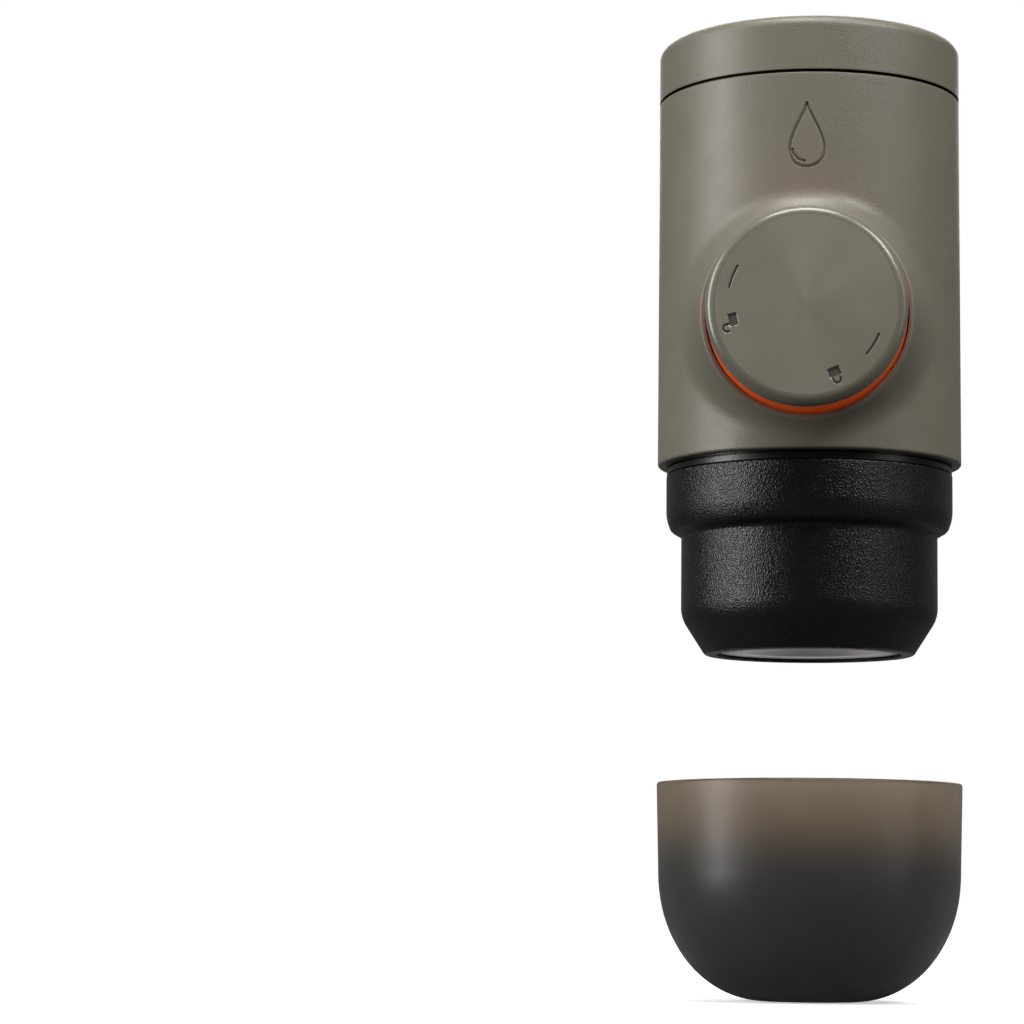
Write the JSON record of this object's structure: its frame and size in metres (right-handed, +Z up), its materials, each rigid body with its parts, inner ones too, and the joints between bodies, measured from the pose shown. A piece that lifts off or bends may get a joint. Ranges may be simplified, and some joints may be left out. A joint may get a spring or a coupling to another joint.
{
  "type": "handheld manual espresso maker",
  "caption": "Handheld manual espresso maker: a cylindrical body with a side press knob, a screw cap, a screw-on outlet head and a round-bottomed cup that closes over it.",
  "frame": {"origin": "on the maker's axis, in the smooth straight band above the knob where a hand or a clamp holds it", "axes": "+Z up through the cap, -Y out through the press knob, +X to the right as seen from the knob's side"},
  "size_m": [0.0622, 0.0747, 0.1968],
  "materials": {
    "olive_plastic": "fine matt texture, moulded",
    "core_plastic": "smooth moulded black",
    "black_grain": "leather-like grain",
    "black_gloss": "polished moulded black",
    "orange_plastic": "smooth orange",
    "steel": "stainless steel",
    "black_seal": "smooth black rubber",
    "clear_silicone": "milky silicone",
    "red_silicone": "brick red silicone",
    "white_plastic": "smooth engineering plastic",
    "grey_plastic": "smooth grey",
    "smoke_plastic": "translucent smoke-brown plastic"
  },
  "bodies": {
    "maker": {"outer_shell": "olive_plastic", "main_core": "core_plastic", "pump_cylinder": "steel", "pump_gland": "white_plastic", "gland_seal": "black_seal", "inlet_valve": "clear_silicone", "outlet_valve": "clear_silicone", "brew_neck": "black_gloss", "neck_screws": "steel", "neck_oring": "black_seal", "shower_screen": "steel", "shower_screw": "steel", "brew_gasket": "red_silicone", "return_spring": "steel"},
    "piston": {"plunger": "steel", "plunger_seals": "black_seal", "knob_screw": "steel"},
    "knob": {"press_knob": "olive_plastic", "accent_ring": "orange_plastic", "knob_carrier": "core_plastic"},
    "cap_seal": {"cap_gasket": "clear_silicone"},
    "cap": {"tank_cap": "olive_plastic", "cap_liner": "core_plastic"},
    "head_seal": {"basket_gasket": "red_silicone"},
    "head": {"outlet_head": "black_grain", "outlet_dome": "grey_plastic", "spout_nozzle": "core_plastic"},
    "basket": {"filter_basket": "steel"},
    "cup": {"drinking_cup": "smoke_plastic"}
  },
  "joints": [
    {"name": "knob_press", "type": "slide", "parent": "maker", "child": "piston", "axis": [0, 1, 0], "range_m": [0, 0.006], "stiffness_N_per_m": 600, "springref_m": -0.008, "deforming": ["return_spring"]},
    {"name": "knob_turn", "type": "hinge", "parent": "piston", "child": "knob", "pos_m": [0, -0.043, -0.0357], "axis": [0, 1, 0], "range_deg": [0, 90]},
    {"name": "cap_lift", "type": "slide", "parent": "maker", "child": "cap_seal", "axis": [0, 0, 1], "range_m": [0, 0.00541]},
    {"name": "cap_turn", "type": "hinge", "parent": "cap_seal", "child": "cap", "pos_m": [0, 0, 0.014], "axis": [0, 0, 1], "range_deg": [0, 216]},
    {"name": "head_drop", "type": "slide", "parent": "maker", "child": "head_seal", "axis": [0, 0, -1], "range_m": [0, 0.00451]},
    {"name": "head_turn", "type": "hinge", "parent": "head_seal", "child": "head", "pos_m": [0, 0, -0.064], "axis": [0, 0, -1], "range_deg": [0, 180]},
    {"name": "basket_drop", "type": "slide", "parent": "maker", "child": "basket", "axis": [0, 0, -1], "range_m": [0, 0.00226]},
    {"name": "cup_lift", "type": "slide", "parent": "head_seal", "child": "cup", "axis": [0, 0, 1], "range_m": [0, 0.0631]}
  ],
  "couplings": [
    {"joint": "cap_lift", "follows": "cap_turn", "m_per_rad": 0.0014324},
    {"joint": "head_drop", "follows": "head_turn", "m_per_rad": 0.0014324},
    {"joint": "basket_drop", "follows": "head_turn", "m_per_rad": 0.0007162}
  ]
}
